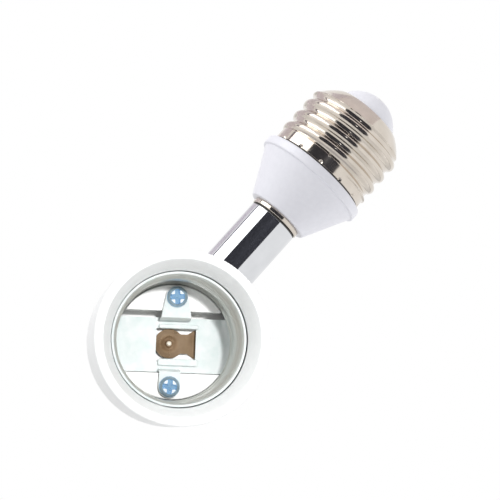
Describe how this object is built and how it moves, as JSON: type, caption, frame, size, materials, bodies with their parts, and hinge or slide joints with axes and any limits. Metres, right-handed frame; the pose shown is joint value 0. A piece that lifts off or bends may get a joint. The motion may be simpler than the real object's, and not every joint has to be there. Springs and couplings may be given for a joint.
{
  "type": "lamp socket adapter",
  "caption": "Angle-adjustable lamp socket adapter: a nickel screw cap on a white cone, a swivelling chrome arm, and a tilting white cup with a screw socket for a bulb.",
  "frame": {"origin": "centre of the white cone's rim on the cap's axis, in the plane where the nickel cap's skirt seats", "axes": "+Z along the cap's axis towards its tip; the socket faces -Y in the stored bent pose; +X along the elbow's pivot"},
  "size_m": [0.0368, 0.0668, 0.097],
  "materials": {
    "nickel": "bright nickel plate",
    "white_plastic": "smooth moulded white",
    "chrome": "mirror chrome plate",
    "steel": "plain plated steel",
    "solder_brass": "tinned brass",
    "block_plastic": "matt moulded white",
    "plated_shell": "satin nickel plate",
    "brass": "rolled brass",
    "blue_zinc": "blue zinc plate",
    "lead_cover": "soft insulation"
  },
  "bodies": {
    "base": {"cap_shell": "nickel", "cap_insulator": "white_plastic", "cap_contact": "solder_brass", "base_cone": "white_plastic", "swivel_bush": "nickel", "cap_leads": "lead_cover"},
    "arm": {"arm_stem": "steel", "stop_washer": "steel", "swivel_nut": "steel", "arm_tube": "chrome", "arm_knuckle": "chrome", "pivot_screw": "steel", "pivot_washer": "steel", "pivot_nut": "steel", "arm_leads": "lead_cover"},
    "socket": {"socket_knuckle": "chrome", "socket_body": "white_plastic", "socket_nut": "steel", "insulator_block": "block_plastic", "screw_shell": "plated_shell", "centre_contact": "brass", "contact_rivet": "brass", "shell_screws": "blue_zinc", "socket_leads": "lead_cover"}
  },
  "joints": [
    {"name": "arm_swivel", "type": "hinge", "parent": "base", "child": "arm", "pos_m": [0, 0, -0.0145], "axis": [0, 0, 1], "range_deg": [-160, 160]},
    {"name": "elbow", "type": "hinge", "parent": "arm", "child": "socket", "pos_m": [0, 0, -0.055], "axis": [1, 0, 0], "range_deg": [0, 180]}
  ]
}
